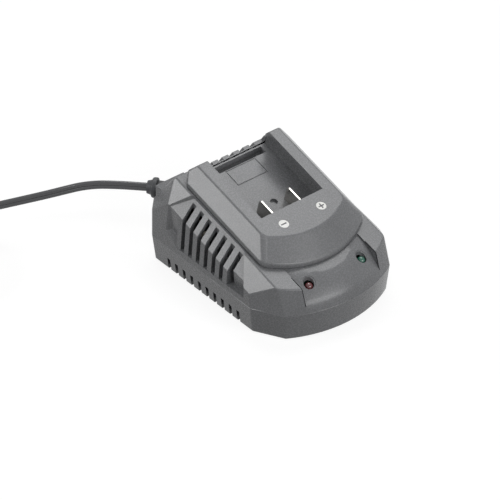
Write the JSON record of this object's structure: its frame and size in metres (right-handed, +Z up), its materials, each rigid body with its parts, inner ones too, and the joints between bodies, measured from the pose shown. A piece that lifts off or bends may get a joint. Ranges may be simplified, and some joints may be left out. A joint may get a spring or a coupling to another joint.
{
  "type": "power tool battery charger",
  "caption": "Slotted grey tool-battery charger with a tilted slide-in dock, two contact blades, two indicator lights and a mains lead.",
  "frame": {"origin": "on the surface that the charger stands on, below the middle of its casing", "axes": "+X to the charger's right, +Y to the back wall where the lead leaves, +Z up"},
  "size_m": [0.2643, 0.2259, 0.0687],
  "materials": {
    "shell_grey": "fine matte texture",
    "black_moulding": "matte",
    "nickel_plate": "bright nickel plate",
    "white_moulding": "matte",
    "red_lens": "diffused lens",
    "green_lens": "diffused lens",
    "green_board": "solder mask",
    "dark_ferrite": "matte",
    "yellow_tape": "polyester tape",
    "black_sleeve": "shrink sleeve",
    "blue_sleeve": "shrink sleeve",
    "yellow_case": "moulded case",
    "copper_wire": "enamelled copper",
    "fuse_ceramic": "ceramic",
    "bare_aluminium": "extruded",
    "black_insulation": "matte",
    "red_insulation": "matte",
    "brown_insulation": "matte",
    "blue_insulation": "matte",
    "flex_grey": "soft satin",
    "black_rubber": "matte",
    "zinc_steel": "zinc plated"
  },
  "bodies": {
    "root": {"bottom_shell": "shell_grey", "top_shell": "shell_grey", "dock": "shell_grey", "terminal_block": "black_moulding", "blade_negative": "nickel_plate", "blade_positive": "nickel_plate", "polarity_disc_negative": "white_moulding", "polarity_disc_positive": "white_moulding", "led_red": "red_lens", "led_green": "green_lens", "pcb": "green_board", "transformer_core": "dark_ferrite", "transformer_bobbin": "black_moulding", "transformer_winding": "yellow_tape", "bulk_capacitor": "black_sleeve", "output_capacitor": "blue_sleeve", "x_capacitor": "yellow_case", "line_choke": "copper_wire", "line_fuse": "fuse_ceramic", "bridge_rectifier": "black_moulding", "switching_transistor": "black_moulding", "heatsink": "bare_aluminium", "output_diode": "black_moulding", "control_chip": "black_moulding", "optocoupler": "black_moulding", "battery_lead_negative": "black_insulation", "battery_lead_positive": "red_insulation", "mains_lead_live": "brown_insulation", "mains_lead_neutral": "blue_insulation", "strain_relief": "flex_grey", "cord_tube": "flex_grey", "cord_coil": "flex_grey", "plug_body": "flex_grey", "plug_pins": "nickel_plate", "plug_pin_sleeves": "black_insulation", "rubber_feet": "black_rubber", "housing_screws": "zinc_steel", "dock_screws": "zinc_steel", "pcb_screws": "zinc_steel"}
  },
  "joints": []
}
